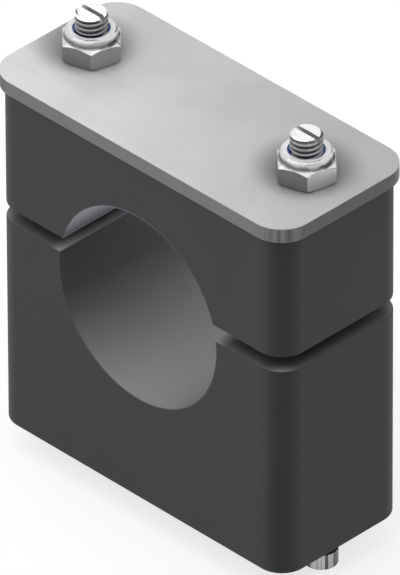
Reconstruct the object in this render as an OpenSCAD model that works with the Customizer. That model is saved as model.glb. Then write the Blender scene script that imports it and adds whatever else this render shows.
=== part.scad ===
// Tube clamp for a slotted rail: two moulded halves round a tube, a steel cover
// plate, two slotted studs with hammer heads, and two lock nuts with nylon rings.
// Millimetres. The origin is the middle of the tube bore. X runs across the tube
// through both studs, Y runs along the tube and Z points up along the studs.

/* [Tube] */
// Diameter of the bore, which is that of the tube it grips
tube_d = 38; // [30:1:42]
// Gap between the halves while they sit on the tube
parting_gap = 3; // [1:0.5:6]
// How far the lower half rises past the middle of the tube
lower_rise = 2.5; // [0:0.5:5]

/* [Halves] */
// Length of both halves, across the tube
half_l = 70; // [66:1:90]
// Width of both halves, along the tube
half_w = 30; // [20:1:45]
// Depth from the middle of the tube to the foot of the lower half
lower_h = 40; // [30:1:60]
// Height from the middle of the tube to the top of the upper half
upper_h = 30; // [26:1:45]
// Radius of the upright corners of the halves
corner_r = 5; // [1:0.5:8]

/* [Cover plate] */
// Thickness of the plate
plate_t = 3; // [1.5:0.5:6]
// How far the plate stands out past the halves, all round
plate_rim = 1; // [0.25:0.25:3]

/* [Studs] */
// Distance from each end of the halves to the middle of its stud
stud_inset = 9; // [8:0.5:10]
// Outside diameter of the studs and of their thread
stud_d = 6; // [5:0.25:6.5]
// Length of stud above the nut
stud_end = 3.5; // [1:0.5:8]
// Chamfer round the upper end of a stud
stud_chamfer = 0.6; // [0.2:0.1:1]
// Width of the screwdriver slot
slot_w = 0.9; // [0.6:0.1:1.5]
// Depth of the screwdriver slot
slot_depth = 1; // [0.5:0.1:2]
// Play between a stud and its holes, on the radius
stud_play = 0.3; // [0.1:0.05:0.6]

/* [Hammer heads] */
// Length of a head, over its two round ends
head_l = 13.2; // [10:0.2:16]
// Height of a head
head_t = 3; // [2:0.25:6]
// Room between the lower half and a head, for the lip of the rail
lip_room = 3; // [1.5:0.25:4]

/* [Lock nuts] */
// Width across the flats
nut_af = 10; // [10:0.5:13]
// Height over the collar
nut_h = 5.5; // [5:0.25:8]
// Height of the hexagon, at the middle of a flat
hex_h = 3.9; // [3:0.1:4.1]
// Play between a nut and the thread that it turns on, on the radius
thread_play = 0.05; // [0.02:0.01:0.1]
// Wall of the nylon ring
ring_wall = 0.95; // [0.8:0.05:1.15]
// Height of the nylon ring
ring_h = 1.4; // [0.8:0.1:1.8]
// Play round the nylon ring in its seat, on the radius
ring_play = 0.02; // [0.01:0.01:0.05]
// Wall of the collar round the nylon ring
collar_wall = 0.6; // [0.4:0.05:0.8]
// Height of the lip that is rolled over the nylon ring
lip_h = 0.5; // [0.3:0.1:0.8]
// How far the lip reaches over the nylon ring
lip_reach = 0.7; // [0.3:0.05:0.75]
// Radius rolled on the outside of the collar
collar_r = 0.6; // [0.3:0.1:0.9]
// Turn of the left nut about its stud, in degrees
left_nut_turn = 15; // [0:1:59]
// Turn of the right nut about its stud, in degrees
right_nut_turn = 17; // [0:1:59]

/* [Hidden] */
$fn = 96;
// Cuts run this far past the faces that they open
cut = 1;

stud_pitch = half_l - 2 * stud_inset;

// Heights, from the foot of the heads to the ends of the studs
upper_foot_z = lower_rise + parting_gap;
nut_z = upper_h + plate_t;
stud_top_z = nut_z + nut_h + stud_end;
head_top_z = -lower_h - lip_room;
head_foot_z = head_top_z - head_t;

// A head is as wide as its stud, so that it drops through the slot of the rail
head_w = stud_d;
stud_hole_d = stud_d + 2 * stud_play;

// Lock nut: the hexagon is turned to a cone of 30 degrees at both ends
cone_angle = 30;
hex_r = nut_af / 2 / cos(30);
hex_drop = (hex_r - nut_af / 2) * tan(cone_angle);
thread_hole_r = stud_d / 2 + thread_play;
ring_r = thread_hole_r + ring_wall;
seat_r = ring_r + ring_play;
collar_out_r = seat_r + collar_wall;
collar_foot = hex_h + (nut_af / 2 - collar_out_r) * tan(cone_angle);
ring_foot = nut_h - lip_h - ring_h;
lip_r = ring_r - lip_reach;

// Outline of the halves and of the plate, seen from above
module plan(length, width, radius) {
    square([length - 2 * radius, width], center = true);
    square([length, width - 2 * radius], center = true);
    for (x = [-1, 1], y = [-1, 1])
        translate([x * (length / 2 - radius), y * (width / 2 - radius)])
            circle(r = radius);
}

// A block of the halves' outline between two heights
module half_block(foot_z, top_z) {
    translate([0, 0, foot_z])
        linear_extrude(top_z - foot_z)
            plan(half_l, half_w, corner_r);
}

// Places its children on the left stud, -1, or on the right one, 1
module on_stud(side) {
    translate([side * stud_pitch / 2, 0, 0])
        children();
}

// The tube's bore, cut through both halves
module tube_bore() {
    rotate([90, 0, 0])
        cylinder(d = tube_d, h = half_w + 2 * cut, center = true);
}

// Both stud holes, over the whole height that they pass
module stud_holes() {
    for (side = [-1, 1])
        on_stud(side)
            translate([0, 0, -lower_h - cut])
                cylinder(d = stud_hole_d, h = lower_h + nut_z + 2 * cut);
}

module lower_block() {
    color([0.27, 0.27, 0.28])
        difference() {
            half_block(-lower_h, lower_rise);
            tube_bore();
            stud_holes();
        }
}

module upper_block() {
    color([0.27, 0.27, 0.28])
        difference() {
            half_block(upper_foot_z, upper_h);
            tube_bore();
            stud_holes();
        }
}

module cover_plate() {
    color([0.78, 0.78, 0.79])
        difference() {
            translate([0, 0, upper_h])
                linear_extrude(plate_t)
                    plan(half_l + 2 * plate_rim, half_w + 2 * plate_rim, corner_r + plate_rim);
            stud_holes();
        }
}

// Shank with a chamfered, slotted upper end
module shank() {
    difference() {
        translate([0, 0, head_top_z])
            rotate_extrude()
                polygon([
                    [0, 0],
                    [stud_d / 2, 0],
                    [stud_d / 2, stud_top_z - stud_chamfer - head_top_z],
                    [stud_d / 2 - stud_chamfer, stud_top_z - head_top_z],
                    [0, stud_top_z - head_top_z]
                ]);
        translate([-stud_d, -slot_w / 2, stud_top_z - slot_depth])
            cube([2 * stud_d, slot_w, slot_depth + cut]);
    }
}

// Hammer head: a flat bar with full round ends, in line with the slot
module hammer_head() {
    translate([0, 0, head_foot_z])
        linear_extrude(head_t) {
            square([head_l - head_w, head_w], center = true);
            for (side = [-1, 1])
                translate([side * (head_l - head_w) / 2, 0])
                    circle(d = head_w);
        }
}

module stud(side) {
    color([0.72, 0.72, 0.73])
        on_stud(side) {
            shank();
            hammer_head();
        }
}

module stud_left() {
    stud(-1);
}

module stud_right() {
    stud(1);
}

// Hexagon of the nut, cut back to a cone at its top and foot
module nut_hexagon() {
    intersection() {
        cylinder(r = hex_r, h = collar_foot, $fn = 6);
        rotate_extrude()
            polygon([
                [0, 0],
                [nut_af / 2, 0],
                [hex_r, hex_drop],
                [hex_r, hex_h - hex_drop],
                [collar_out_r, collar_foot],
                [0, collar_foot]
            ]);
    }
}

// Collar that holds the nylon ring, with its outer edge rolled round
module nut_collar() {
    rotate_extrude() {
        translate([0, hex_h - hex_drop])
            square([collar_out_r - collar_r, nut_h - hex_h + hex_drop]);
        translate([0, hex_h - hex_drop])
            square([collar_out_r, nut_h - collar_r - hex_h + hex_drop]);
        translate([collar_out_r - collar_r, nut_h - collar_r])
            circle(r = collar_r);
    }
}

// Bore of the nut, with the seat of the nylon ring under the lip
module nut_inside() {
    translate([0, 0, -cut])
        cylinder(r = thread_hole_r, h = nut_h + 2 * cut);
    translate([0, 0, ring_foot])
        cylinder(r = seat_r, h = ring_h);
    translate([0, 0, ring_foot])
        cylinder(r = lip_r, h = nut_h - ring_foot + cut);
}

module lock_nut(side, turn) {
    color([0.75, 0.75, 0.76])
        on_stud(side)
            translate([0, 0, nut_z])
                rotate([0, 0, turn])
                    difference() {
                        union() {
                            nut_hexagon();
                            nut_collar();
                        }
                        nut_inside();
                    }
}

module lock_nut_left() {
    lock_nut(-1, left_nut_turn);
}

module lock_nut_right() {
    lock_nut(1, right_nut_turn);
}

// Nylon ring on the floor of its seat
module nylon_ring(side) {
    color([0.05, 0.2, 0.6])
        on_stud(side)
            translate([0, 0, nut_z + ring_foot])
                difference() {
                    cylinder(r = ring_r, h = ring_h);
                    translate([0, 0, -cut])
                        cylinder(r = thread_hole_r, h = ring_h + 2 * cut);
                }
}

module nylon_ring_left() {
    nylon_ring(-1);
}

module nylon_ring_right() {
    nylon_ring(1);
}

lower_block();
upper_block();
cover_plate();
stud_left();
stud_right();
lock_nut_left();
lock_nut_right();
nylon_ring_left();
nylon_ring_right();
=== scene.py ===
"""Looks of a tube clamp in two moulded halves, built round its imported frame.

The frame gives every size and place. Each sub-assembly is a class: it reads
its boxes from the frame, models its pieces with bmesh operators, dresses them
in a finish and lets them ride on the bodies that carry them.
"""

import logging
import math
from collections.abc import Iterable, Sequence
from dataclasses import dataclass
from enum import Enum
from functools import partial, reduce

import bmesh
import bpy
from bmesh.types import BMEdge, BMesh
from bpy.types import Material, Node, NodeOutputs, NodeSocket, NodeTree, Object
from mathutils import Euler, Matrix, Vector


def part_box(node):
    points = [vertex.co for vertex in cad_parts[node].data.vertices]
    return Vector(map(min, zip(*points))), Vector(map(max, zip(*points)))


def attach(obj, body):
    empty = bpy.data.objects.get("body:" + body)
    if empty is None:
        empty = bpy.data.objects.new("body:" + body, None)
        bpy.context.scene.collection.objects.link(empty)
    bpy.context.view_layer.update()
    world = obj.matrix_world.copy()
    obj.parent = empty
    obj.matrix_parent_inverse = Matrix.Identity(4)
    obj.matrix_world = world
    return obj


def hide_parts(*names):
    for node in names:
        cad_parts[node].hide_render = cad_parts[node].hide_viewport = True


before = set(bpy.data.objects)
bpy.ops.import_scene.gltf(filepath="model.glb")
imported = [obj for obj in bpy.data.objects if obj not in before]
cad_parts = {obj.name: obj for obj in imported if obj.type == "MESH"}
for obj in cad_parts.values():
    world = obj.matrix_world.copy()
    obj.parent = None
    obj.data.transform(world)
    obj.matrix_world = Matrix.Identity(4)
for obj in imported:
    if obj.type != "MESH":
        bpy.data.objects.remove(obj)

log = logging.getLogger("tube_clamp")

MM = 0.001
SIXTH_TURN = math.tau / 6
# Vertices nearer to each other than this are welded, in metres
WELD = 0.2e-6
# Above 50, large faces count for more in the normals that they share
FACE_WEIGHT = 60

Point2 = tuple[float, float]
Scale = tuple[float, float, float]
Colour = tuple[float, float, float]


class Side(Enum):
    """Which of the two studs a fastener belongs to."""

    LEFT = "left"
    RIGHT = "right"

    def node(self, stem: str) -> str:
        """Name of this side's CAD node, such as stud_left."""
        return f"{stem}_{self.value}"


class Cut(Enum):
    """What one closed mesh does to another."""

    TAKE_AWAY = "DIFFERENCE"
    KEEP_COMMON = "INTERSECT"
    JOIN = "UNION"


@dataclass(frozen=True)
class Box:
    """Box of a CAD node at rest, in the row frame and in metres."""

    low: Vector
    high: Vector

    @classmethod
    def of(cls, node: str) -> "Box":
        """Reads a CAD node's box from the frame."""
        low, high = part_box(node)
        return cls(low, high)

    @property
    def size(self) -> Vector:
        """Length along each axis."""
        return self.high - self.low

    @property
    def centre(self) -> Vector:
        """Middle of the box."""
        return (self.high + self.low) / 2


def direction(azimuth: float, elevation: float = 0.0) -> Vector:
    """Gives a unit vector by degrees round Z, 0 in front and 90 on the right, and up."""
    a, e = math.radians(azimuth), math.radians(elevation)
    return Vector((math.sin(a) * math.cos(e), -math.cos(a) * math.cos(e), math.sin(e)))


def new_object(name: str, bm: BMesh) -> Object:
    """Turns a bmesh into an object at the origin, and frees the bmesh.

    Args:
        name: Name of the object and its mesh.
        bm: The finished bmesh, in the row frame and in metres.

    Returns:
        The object, linked to the scene.
    """
    bmesh.ops.remove_doubles(bm, verts=bm.verts, dist=WELD)
    bmesh.ops.recalc_face_normals(bm, faces=bm.faces)
    mesh = bpy.data.meshes.new(name)
    bm.to_mesh(mesh)
    bm.free()
    made = bpy.data.objects.new(name, mesh)
    bpy.context.scene.collection.objects.link(made)
    return made


def as_bmesh(piece: Object) -> BMesh:
    """Gives a bmesh copy of an object's mesh, with its modifiers applied."""
    bm = bmesh.new()
    bm.from_object(piece, bpy.context.evaluated_depsgraph_get())
    return bm


def cut_with(piece: Object, tool: Object, cut: Cut) -> None:
    """Cuts a piece with a closed tool mesh, exactly, and removes the tool.

    Args:
        piece: The object to cut.
        tool: The closed object to cut it with.
        cut: What the tool does to the piece.
    """
    modifier = piece.modifiers.new("cut", "BOOLEAN")
    modifier.operation = cut.value
    modifier.solver = "EXACT"
    modifier.object = tool
    bm = as_bmesh(piece)
    piece.modifiers.remove(modifier)
    bmesh.ops.remove_doubles(bm, verts=bm.verts, dist=WELD)
    bm.to_mesh(piece.data)
    bm.free()
    mesh = tool.data
    bpy.data.objects.remove(tool)
    bpy.data.meshes.remove(mesh)


def sharp_edges(bm: BMesh, least: float) -> list[BMEdge]:
    """Finds the edges whose two faces turn by more than an angle, in degrees."""
    limit = math.radians(least)
    return [e for e in bm.edges if e.is_manifold and e.calc_face_angle(0.0) > limit]


def soften(bm: BMesh, edges: Iterable[BMEdge], width: float, segments: int) -> None:
    """Rounds edges over, as far as a width in metres and in a number of faces."""
    bmesh.ops.bevel(
        bm, geom=list(edges), offset=width, offset_type="OFFSET", affect="EDGES",
        segments=segments, profile=0.5, material=-1, clamp_overlap=True,
    )


def soften_piece(piece: Object, width: float, segments: int = 3, least: float = 32.0) -> None:
    """Rounds every sharp edge of an object over.

    Args:
        piece: The object to round.
        width: How far the rounds reach from each edge, in metres.
        segments: Number of faces across each round.
        least: The angle between two faces' normals that counts as sharp, in degrees.
    """
    bm = bmesh.new()
    bm.from_mesh(piece.data)
    soften(bm, sharp_edges(bm, least), width, segments)
    bmesh.ops.remove_doubles(bm, verts=bm.verts, dist=WELD)
    bm.to_mesh(piece.data)
    bm.free()


def cylinder(place: Matrix, radius: float, length: float, steps: int) -> BMesh:
    """Makes a closed cylinder.

    Args:
        place: Moves it from the origin, where it stands upright round its middle.
        radius: Its radius, in metres.
        length: Its length, in metres.
        steps: Number of sides.

    Returns:
        A bmesh that holds the cylinder.
    """
    bm = bmesh.new()
    bmesh.ops.create_cone(
        bm, cap_ends=True, segments=steps, radius1=radius, radius2=radius, depth=length,
        matrix=place,
    )
    return bm


def rod(centre: Vector, radius: float, low: float, high: float, steps: int) -> Object:
    """Makes an upright closed cylinder between two heights, round a centre."""
    place = Matrix.Translation((centre.x, centre.y, (low + high) / 2))
    return new_object("rod", cylinder(place, radius, high - low, steps))


def block(box: Box) -> BMesh:
    """Makes a bmesh that fills a box."""
    bm = bmesh.new()
    place = Matrix.Translation(box.centre) @ Matrix.Diagonal((*box.size, 1.0))
    bmesh.ops.create_cube(bm, size=1.0, matrix=place)
    return bm


def rounded_block(name: str, box: Box, corner: float, steps: int) -> Object:
    """Makes a block with rounded upright corners.

    Args:
        name: Name of the object.
        box: The box that it fills.
        corner: Radius of its upright corners.
        steps: Number of faces round each corner.

    Returns:
        The block.
    """
    bm = block(box)
    tall = box.size.z / 2
    upright = [e for e in bm.edges if abs(e.verts[0].co.z - e.verts[1].co.z) > tall]
    soften(bm, upright, corner, steps)
    return new_object(name, bm)


def turned(outline: Sequence[Point2], centre: Vector, steps: int) -> BMesh:
    """Spins a closed outline round an upright axis.

    Args:
        outline: Radius and height of each corner, in metres, all off the axis.
        centre: A point on the axis.
        steps: Number of steps in the full turn.

    Returns:
        A bmesh that holds the ring.
    """
    bm = bmesh.new()
    verts = [bm.verts.new((centre.x + r, centre.y, z)) for r, z in outline]
    edges = [bm.edges.new(pair) for pair in zip(verts, verts[1:] + verts[:1])]
    bmesh.ops.spin(
        bm, geom=verts + edges, cent=centre, axis=(0, 0, 1), angle=math.tau,
        steps=steps, use_merge=True, use_duplicate=False,
    )
    return bm


def arc(centre: Point2, radius: float, start: float, end: float, steps: int) -> list[Point2]:
    """Gives the points of an arc in an outline, both ends included.

    Args:
        centre: Radius and height of the arc's middle.
        radius: Radius of the arc.
        start: Its first angle, in degrees from outwards towards up.
        end: Its last angle.
        steps: Number of chords.

    Returns:
        The points, as radius and height.
    """
    angles = (math.radians(start + (end - start) * i / steps) for i in range(steps + 1))
    return [(centre[0] + radius * math.cos(a), centre[1] + radius * math.sin(a)) for a in angles]


def show_smooth(piece: Object, least: float = 40.0) -> None:
    """Shades a piece smooth, with flat faces kept flat by weighted normals.

    Args:
        piece: The object to shade.
        least: The angle between two faces' normals that stays sharp, in degrees.
    """
    mesh = piece.data
    mesh.polygons.foreach_set("use_smooth", [True] * len(mesh.polygons))
    mesh.set_sharp_from_angle(angle=math.radians(least))
    weighted = piece.modifiers.new("flat faces", "WEIGHTED_NORMAL")
    weighted.mode = "FACE_AREA"
    weighted.weight = FACE_WEIGHT
    weighted.keep_sharp = True


class Group:
    """A shader node group with named sockets, under construction."""

    def __init__(self, name: str) -> None:
        """Starts an empty group with a name."""
        self.tree = bpy.data.node_groups.new(name, "ShaderNodeTree")
        self.inside = self.tree.nodes.new("NodeGroupInput")
        self.outside = self.tree.nodes.new("NodeGroupOutput")

    def takes(self, name: str, kind: str, default: object = None) -> NodeSocket:
        """Adds an input socket.

        Args:
            name: Name of the socket.
            kind: Float, Vector or Color.
            default: Value of the socket where nothing is linked to it.

        Returns:
            The socket inside the group.
        """
        socket_type = f"NodeSocket{kind}"
        made = self.tree.interface.new_socket(name, in_out="INPUT", socket_type=socket_type)
        if default is not None:
            made.default_value = default
        return self.inside.outputs[name]

    def gives(self, name: str, kind: str, source: NodeSocket) -> None:
        """Adds an output socket, fed by a source inside the group."""
        self.tree.interface.new_socket(name, in_out="OUTPUT", socket_type=f"NodeSocket{kind}")
        self.tree.links.new(source, self.outside.inputs[name])


class Wiring:
    """Short ways to add linked nodes to one node tree."""

    def __init__(self, tree: NodeTree) -> None:
        """Keeps the tree of a material, a world or a group, which the nodes go into."""
        self.tree = tree

    def feed(self, socket: NodeSocket, value: object) -> None:
        """Links a socket to another one, or sets its value.

        Args:
            socket: The input socket.
            value: An output socket, or a plain value.
        """
        if isinstance(value, NodeSocket):
            self.tree.links.new(value, socket)
        elif value is not None:
            socket.default_value = value

    def add(
        self, kind: str, inputs: dict[object, object] | None = None, **settings: object,
    ) -> Node:
        """Adds a node.

        Args:
            kind: The node's type, without its ShaderNode prefix.
            inputs: NodeOutputs or values for its inputs, by name or number.
            **settings: The node's own settings.

        Returns:
            The node.
        """
        node = self.tree.nodes.new(f"ShaderNode{kind}")
        for name, value in settings.items():
            setattr(node, name, value)
        for key, value in (inputs or {}).items():
            self.feed(node.inputs[key], value)
        return node

    def calc(self, operation: str, *values: object, clamp: bool = False) -> NodeSocket:
        """Adds a Math node and gives its result."""
        node = self.add("Math", dict(enumerate(values)), operation=operation, use_clamp=clamp)
        return node.outputs[0]

    def times(self, *factors: object) -> NodeSocket:
        """Multiplies two or more numbers."""
        return reduce(partial(self.calc, "MULTIPLY"), factors)

    def factor(self, mask: object, full: float) -> NodeSocket:
        """Gives a factor that is 1 where a mask is 0, and full where it is 1."""
        return self.calc("MULTIPLY_ADD", mask, full - 1.0, 1.0)

    def ramp(
        self, value: object, low: float, high: float, to_low: float = 0.0, to_high: float = 1.0,
    ) -> NodeSocket:
        """Maps a value smoothly from one range to another.

        Args:
            value: The socket to map.
            low: Start of its range.
            high: End of its range.
            to_low: What low becomes.
            to_high: What high becomes.

        Returns:
            The mapped value.
        """
        node = self.add(
            "MapRange", {0: value, 1: low, 2: high, 3: to_low, 4: to_high},
            interpolation_type="SMOOTHSTEP",
        )
        return node.outputs[0]


    def blend(self, share: object, first: object, second: object) -> NodeSocket:
        """Mixes two colours, from the first at share 0 to the second at share 1."""
        node = self.add("Mix", {0: share, 6: first, 7: second}, data_type="RGBA")
        return node.outputs[2]

    def mix(self, share: object, first: object, second: object) -> NodeSocket:
        """Mixes two numbers, from the first at share 0 to the second at share 1."""
        node = self.add("Mix", {0: share, 2: first, 3: second}, data_type="FLOAT")
        return node.outputs[0]

    def shade(self, colour: object, amount: object) -> NodeSocket:
        """Multiplies a colour by a number."""
        node = self.add("VectorMath", {0: colour, "Scale": amount}, operation="SCALE")
        return node.outputs[0]

    def spread(self, value: object, amount: float) -> NodeSocket:
        """Turns a value from 0 to 1 into a factor from 1 - amount to 1 + amount."""
        return self.calc("MULTIPLY_ADD", value, 2 * amount, 1.0 - amount)

    def split(self, vector: object) -> NodeOutputs:
        """Gives the X, Y and Z of a vector."""
        return self.add("SeparateXYZ", {0: vector}).outputs

    def join(self, parts: dict[int, object]) -> NodeSocket:
        """Makes a vector of numbered parts, with 0 for the ones left out."""
        return self.add("CombineXYZ", parts).outputs[0]

    def vector(self, operation: str, *values: object) -> NodeSocket:
        """Adds a Vector Math node and gives its vector."""
        node = self.add("VectorMath", dict(enumerate(values)), operation=operation)
        return node.outputs[0]

    def measure(self, operation: str, *values: object) -> NodeSocket:
        """Adds a Vector Math node and gives its number, such as a length."""
        node = self.add("VectorMath", dict(enumerate(values)), operation=operation)
        return node.outputs["Value"]

    def noise(self, place: object, rate: object, detail: object) -> NodeSocket:
        """Adds a noise texture and gives its value."""
        node = self.add("TexNoise", {"Vector": place, "Scale": rate, "Detail": detail})
        return node.outputs[0]

    def near_way(self, way: object, middle: Vector, band: Point2) -> NodeSocket:
        """Masks a unit vector near a middle one, from full to gone at two angles in degrees."""
        full, gone = (math.cos(math.radians(angle)) for angle in band)
        return self.ramp(self.measure("DOT_PRODUCT", way, middle), gone, full)

    def viewing_rays(self) -> NodeSocket:
        """Masks the rays by which the camera, metal and glass see the background."""
        ray = self.add("LightPath").outputs
        seen = self.calc("MAXIMUM", ray["Is Camera Ray"], ray["Is Glossy Ray"])
        return self.calc("MAXIMUM", seen, ray["Is Transmission Ray"])

    def group(self, group: NodeTree, inputs: dict[str, object]) -> NodeOutputs:
        """Places a node group.

        Args:
            group: The group's node tree.
            inputs: NodeOutputs or values for its named inputs.

        Returns:
            The group's outputs, by name.
        """
        node = self.tree.nodes.new("ShaderNodeGroup")
        node.node_tree = group
        for key, value in inputs.items():
            self.feed(node.inputs[key], value)
        return node.outputs


def rgba(colour: Colour) -> tuple[float, float, float, float]:
    """Adds full opacity to a colour."""
    return (*colour, 1.0)


class Effects:
    """The shared effects, each one node group built once.

    The bands are the ends of a smooth step from 0 to 1, and the details are the octaves
    of a noise. Rates and shares are relative to the texture that a group starts from,
    apart from the patch rate, which is in patches a metre.
    """

    edge_band: Point2 = (0.995, 0.86)
    edge_samples: int = 6
    patch_rate: float = 900.0
    patch_band: Point2 = (0.35, 0.65)
    noise_band: Point2 = (0.3, 0.7)
    grit_rate: float = 1.7
    pit_share: float = 0.6
    broad_rate: float = 0.18
    broad_share: float = 0.35
    streak_band: Point2 = (0.76, 1.24)
    soft_detail: float = 3.0
    fine_detail: float = 4.0
    broad_detail: float = 2.0

    def __init__(self) -> None:
        """Builds every group."""
        self.edge_wear = self._edge_wear()
        self.spark_texture = self._spark_texture()
        self.fine_lines = self._fine_lines()
        self.mottle = self._mottle()
        self.round_axis = self._round_axis()

    def _edge_wear(self) -> NodeTree:
        """Mask of the outer edges, from how far a rounded normal leaves the true one.

        Returns:
            A group with Width, Breakup and Vector inputs and a Mask output.
        """
        group = Group("Edge Wear")
        w = Wiring(group.tree)
        width = group.takes("Width", "Float", 0.3 * MM)
        breakup = group.takes("Breakup", "Float", 0.5)
        place = group.takes("Vector", "Vector")
        rounded = w.add("Bevel", {"Radius": width}, samples=self.edge_samples).outputs[0]
        true_normal = w.add("NewGeometry").outputs["Normal"]
        edge = w.ramp(w.measure("DOT_PRODUCT", rounded, true_normal), *self.edge_band)
        worn = w.ramp(w.noise(place, self.patch_rate, self.soft_detail), *self.patch_band)
        kept = w.calc("MULTIPLY_ADD", w.calc("SUBTRACT", worn, 1.0), breakup, 1.0)
        group.gives("Mask", "Float", w.calc("MULTIPLY", edge, kept, clamp=True))
        return group.tree

    def _spark_texture(self) -> NodeTree:
        """Fine pitted skin that a spark-eroded mould leaves on plastic.

        Returns:
            A group with Vector and Pit Size inputs and Height and Shine outputs.
        """
        group = Group("Spark Texture")
        w = Wiring(group.tree)
        place = group.takes("Vector", "Vector")
        pit = group.takes("Pit Size", "Float", 0.25 * MM)
        rate = w.calc("DIVIDE", 1.0, pit)
        pits = w.add("TexVoronoi", {"Vector": place, "Scale": rate}, feature="SMOOTH_F1")
        grit = w.noise(place, w.times(rate, self.grit_rate), self.fine_detail)
        height = w.calc("MULTIPLY_ADD", pits.outputs["Distance"], self.pit_share, grit)
        group.gives("Height", "Float", height)
        group.gives("Shine", "Float", w.ramp(grit, *self.noise_band))
        return group.tree

    def _fine_lines(self) -> NodeTree:
        """Fine lines of a brushed, drawn or turned surface.

        Returns:
            A group with Vector and Rate inputs and Height and Streak outputs. Vector
            is already stretched so that it hardly changes along a line.
        """
        group = Group("Fine Lines")
        w = Wiring(group.tree)
        place = group.takes("Vector", "Vector")
        rate = group.takes("Rate", "Float", 4000.0)
        fine = w.noise(place, rate, self.fine_detail)
        broad = w.noise(place, w.times(rate, self.broad_rate), self.broad_detail)
        height = w.calc("MULTIPLY_ADD", broad, self.broad_share, fine)
        group.gives("Height", "Float", height)
        group.gives("Streak", "Float", w.ramp(w.calc("ADD", fine, broad), *self.streak_band))
        return group.tree

    def _mottle(self) -> NodeTree:
        """Slow, cloudy change over a surface.

        Returns:
            A group with Vector, Patch Size and Detail inputs and a Cloud output.
        """
        group = Group("Mottle")
        w = Wiring(group.tree)
        place = group.takes("Vector", "Vector")
        patch = group.takes("Patch Size", "Float", 20 * MM)
        detail = group.takes("Detail", "Float", self.soft_detail)
        noise = w.noise(place, w.calc("DIVIDE", 1.0, patch), detail)
        group.gives("Cloud", "Float", w.ramp(noise, *self.noise_band))
        return group.tree

    def _round_axis(self) -> NodeTree:
        """Places a point by its reach from an upright axis and by its height.

        Returns:
            A group with Vector and Axis inputs and Reach, Height and Turned outputs.
            Turned is a vector that stays the same all round the axis.
        """
        group = Group("Round Axis")
        w = Wiring(group.tree)
        place = group.takes("Vector", "Vector")
        axis = group.takes("Axis", "Vector")
        parts = w.split(w.vector("SUBTRACT", place, axis))
        reach = w.measure("LENGTH", w.join({0: parts[0], 1: parts[1]}))
        group.gives("Reach", "Float", reach)
        group.gives("Height", "Float", parts[2])
        group.gives("Turned", "Vector", w.join({1: reach, 2: parts[2]}))
        return group.tree


class Paint:
    """A material under construction: its wiring, its shader and its coordinates."""

    def __init__(self, name: str, effects: Effects | None = None) -> None:
        """Starts a material with a Principled BSDF and Object coordinates.

        Args:
            name: Name of the material.
            effects: The shared node groups, for a material that places them.
        """
        self.material = bpy.data.materials.new(name)
        self.material.use_nodes = True
        self.material.node_tree.nodes.clear()
        self.effects = effects
        self.wiring = Wiring(self.material.node_tree)
        self.shader = self.wiring.add("BsdfPrincipled")
        self.output = self.wiring.add("OutputMaterial")
        self.wiring.feed(self.output.inputs["Surface"], self.shader.outputs[0])
        self.place = self.wiring.add("TexCoord").outputs["Object"]
        self.bumped = None

    def set(self, **inputs: object) -> None:
        """Feeds the shader's inputs, each named with _ for a space."""
        for name, value in inputs.items():
            socket = self.shader.inputs[name.replace("_", " ").title().replace("Ior", "IOR")]
            self.wiring.feed(socket, value)

    def bump(self, height: object, depth: float, strength: float) -> None:
        """Bumps the surface, on top of the bumps that it has.

        Args:
            height: The height, in parts of the depth.
            depth: What a height of 1 stands for, in metres.
            strength: How strongly it shows.
        """
        inputs = {
            "Strength": strength, "Distance": depth, "Height": height, "Normal": self.bumped,
        }
        self.bumped = self.wiring.add("Bump", inputs).outputs[0]
        self.set(normal=self.bumped)

    def facing(self) -> NodeSocket:
        """Gives the direction that the surface faces."""
        return self.wiring.add("NewGeometry").outputs["Normal"]

    def stretched(self, scale: Scale) -> NodeSocket:
        """Gives the coordinates scaled along each axis."""
        return self.wiring.add("Mapping", {"Vector": self.place, "Scale": scale}).outputs[0]

    def cloud(self, size: float, detail: float = Effects.soft_detail) -> NodeSocket:
        """Places the cloudy change, with patches of a size in metres."""
        inputs = {"Vector": self.place, "Patch Size": size, "Detail": detail}
        return self.wiring.group(self.effects.mottle, inputs)["Cloud"]

    def lines(self, place: NodeSocket, rate: float) -> NodeOutputs:
        """Places the fine lines on stretched coordinates, at a rate in lines a metre."""
        return self.wiring.group(self.effects.fine_lines, {"Vector": place, "Rate": rate})

    def wear(self, width: float, breakup: float) -> NodeSocket:
        """Places the mask of the outer edges, broken up into patches by a share."""
        inputs = {"Vector": self.place, "Width": width, "Breakup": breakup}
        return self.wiring.group(self.effects.edge_wear, inputs)["Mask"]

    def about(self, axis: Vector) -> NodeOutputs:
        """Places the surface about an upright axis, by its Reach, Height and Turned."""
        return self.wiring.group(self.effects.round_axis, {"Vector": self.place, "Axis": axis})


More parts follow.
